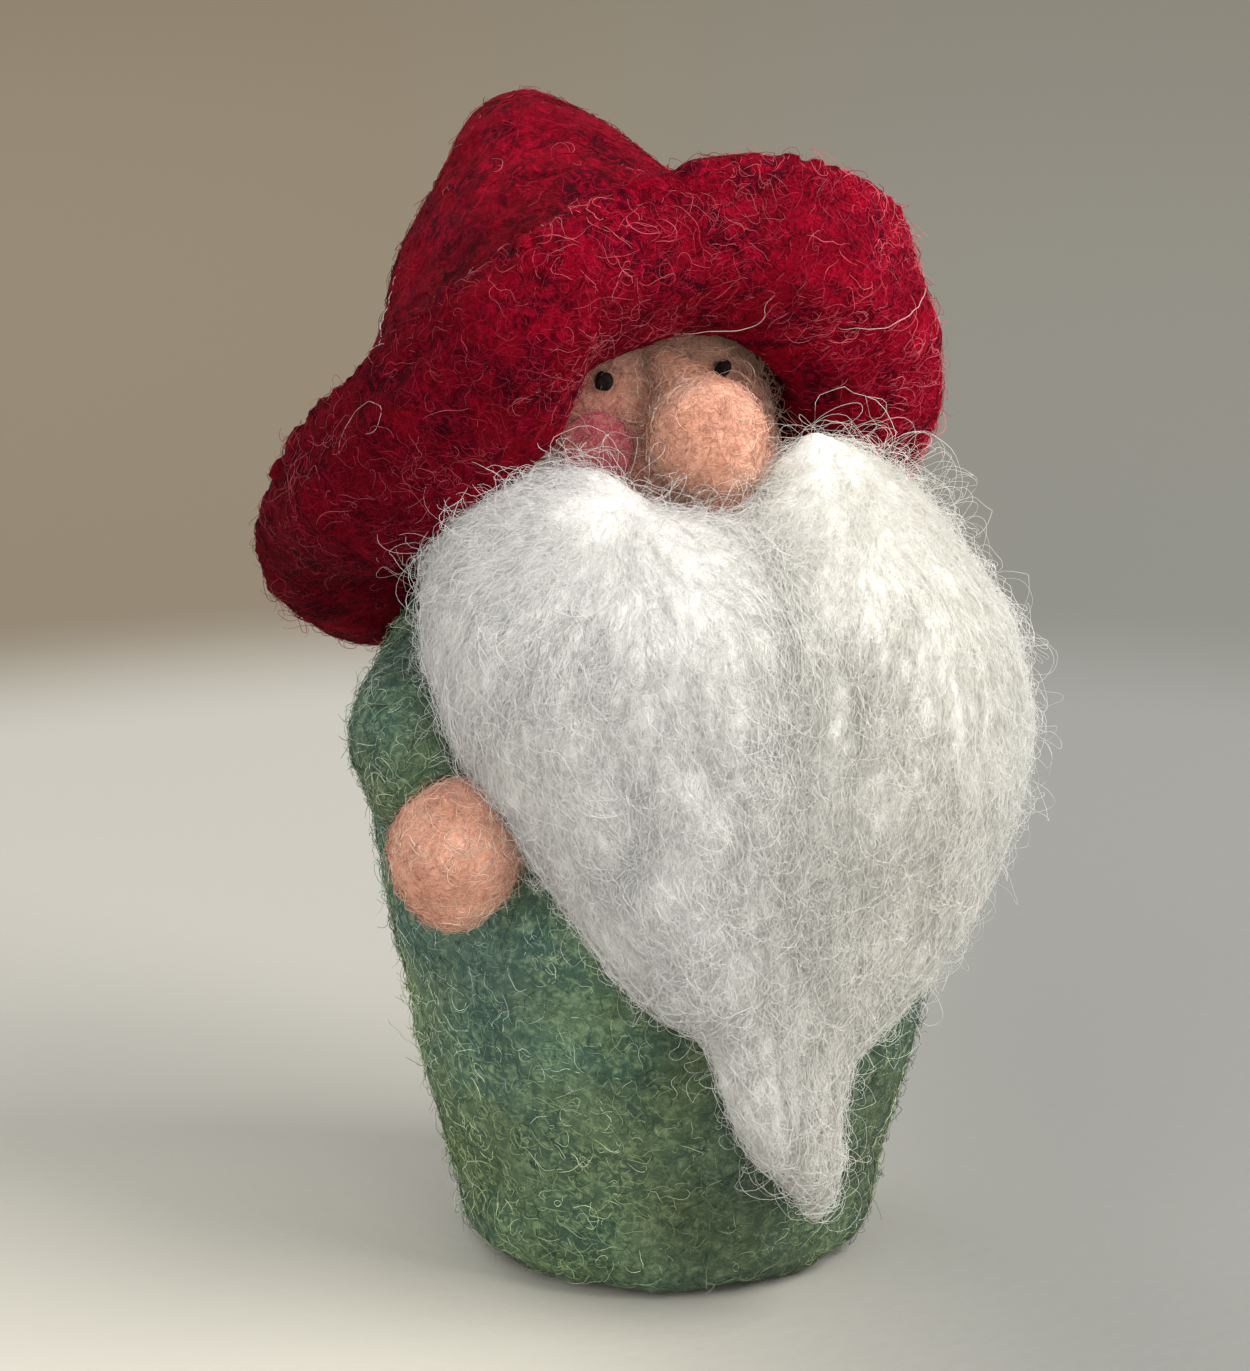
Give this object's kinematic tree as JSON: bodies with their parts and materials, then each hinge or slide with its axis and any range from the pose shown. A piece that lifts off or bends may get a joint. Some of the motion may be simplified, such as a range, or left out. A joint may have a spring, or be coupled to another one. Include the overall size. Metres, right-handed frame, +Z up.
{
  "type": "felt gnome figurine",
  "caption": "Small needle-felted wool gnome with a barrel body, stub arms, round nose, long combed beard and a wide floppy felt hat that lifts off.",
  "frame": {"origin": "middle of the flat underside that the figurine stands on", "axes": "+Z up, -Y the way the gnome faces, +X towards the gnome's own left"},
  "size_m": [0.0626, 0.066, 0.104],
  "materials": {
    "core_wool": "undyed core wool, firmly needled, matte",
    "green_wool": "mottled green needle-felted wool with curly surface fibres",
    "skin_wool": "peach needle-felted wool, fuzzy",
    "pink_wool": "thin patch of pink wool, needled flat",
    "black_wool": "dot of black wool, needled flat",
    "beard_wool": "combed white wool, loose wavy fibres with a soft sheen",
    "red_felt": "thick crimson wool felt, fuzzy, with lighter curly fibres"
  },
  "bodies": {
    "body": {"body_core": "core_wool", "coat": "green_wool", "head_core": "core_wool", "face_skin": "skin_wool", "nose": "skin_wool", "beard_tail": "beard_wool", "beard_lock_right": "beard_wool", "beard_lock_left": "beard_wool", "eye_right": "black_wool", "cheek_right": "pink_wool", "eye_left": "black_wool", "cheek_left": "pink_wool"},
    "hat": {"hat": "red_felt"},
    "arm_right": {"sleeve_right": "green_wool", "hand_right": "skin_wool"},
    "arm_left": {"sleeve_left": "green_wool", "hand_left": "skin_wool"}
  },
  "joints": [
    {"name": "hat_lift", "type": "slide", "parent": "body", "child": "hat", "axis": [0, 0.5592, 0.829], "range_m": [0, 0.06]},
    {"name": "arm_right_bend", "type": "hinge", "parent": "body", "child": "arm_right", "pos_m": [-0.02291, 0.00205, 0.057], "axis": [0, 1, 0], "range_deg": [0, 25], "stiffness_Nm_per_rad": 0.002},
    {"name": "arm_left_bend", "type": "hinge", "parent": "body", "child": "arm_left", "pos_m": [0.01515, 0.00205, 0.057], "axis": [0, -1, 0], "range_deg": [0, 25], "stiffness_Nm_per_rad": 0.002}
  ]
}
